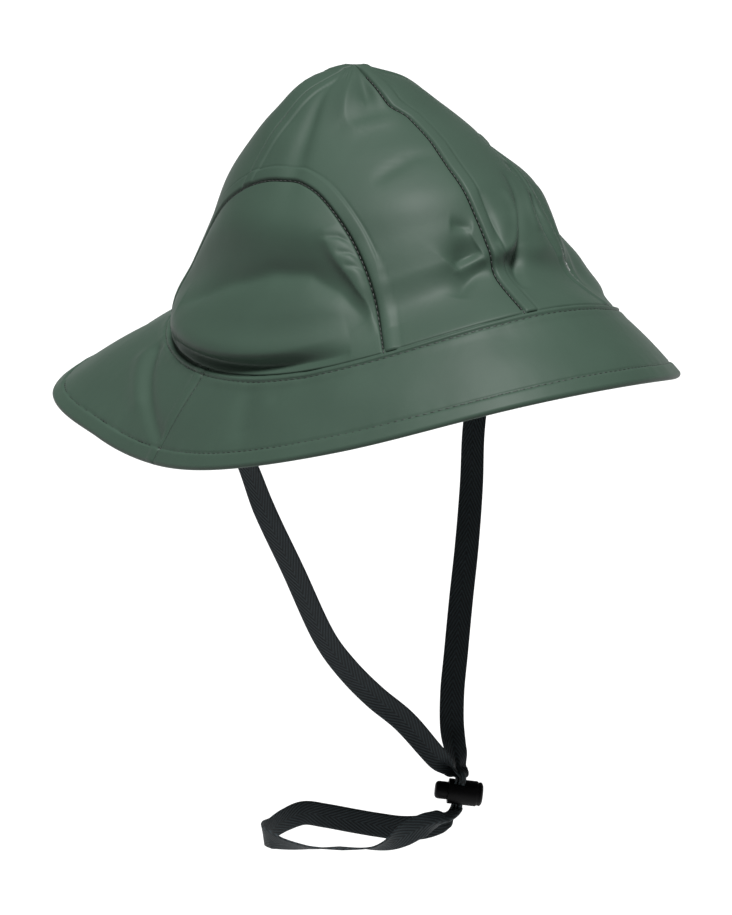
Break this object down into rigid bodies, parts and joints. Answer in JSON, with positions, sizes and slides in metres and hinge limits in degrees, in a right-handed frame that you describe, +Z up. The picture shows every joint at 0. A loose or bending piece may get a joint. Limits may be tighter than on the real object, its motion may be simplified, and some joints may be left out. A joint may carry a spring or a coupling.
{
  "type": "sou wester hat",
  "caption": "Waterproof rain hat with a domed crown of gores and arched side panels, a brim that is longest over the neck, and a webbing chin strap with a spring cord lock.",
  "frame": {"origin": "middle of the head opening at the level of the brim seam, where the head sits", "axes": "+Z up through the crown, the front of the hat towards -Y, +X towards the wearer's left"},
  "size_m": [0.2282, 0.3144, 0.3227],
  "materials": {
    "coated_cloth": "satin waterproof coating",
    "webbing": "herringbone twill, matt",
    "lock_plastic": "moulded, low sheen"
  },
  "bodies": {
    "hat": {"gore_front_right": "coated_cloth", "gore_front_left": "coated_cloth", "gore_back_right": "coated_cloth", "gore_back_left": "coated_cloth", "side_panel_right": "coated_cloth", "side_panel_left": "coated_cloth", "brim_front": "coated_cloth", "brim_back": "coated_cloth", "chin_strap": "webbing", "lock_barrel": "lock_plastic"},
    "button": {"lock_button": "lock_plastic"}
  },
  "joints": [
    {"name": "button_press", "type": "slide", "parent": "hat", "child": "button", "axis": [0.8417, -0.526, -0.1219], "range_m": [0, 0.0022], "stiffness_N_per_m": 400, "springref_m": -0.002}
  ]
}
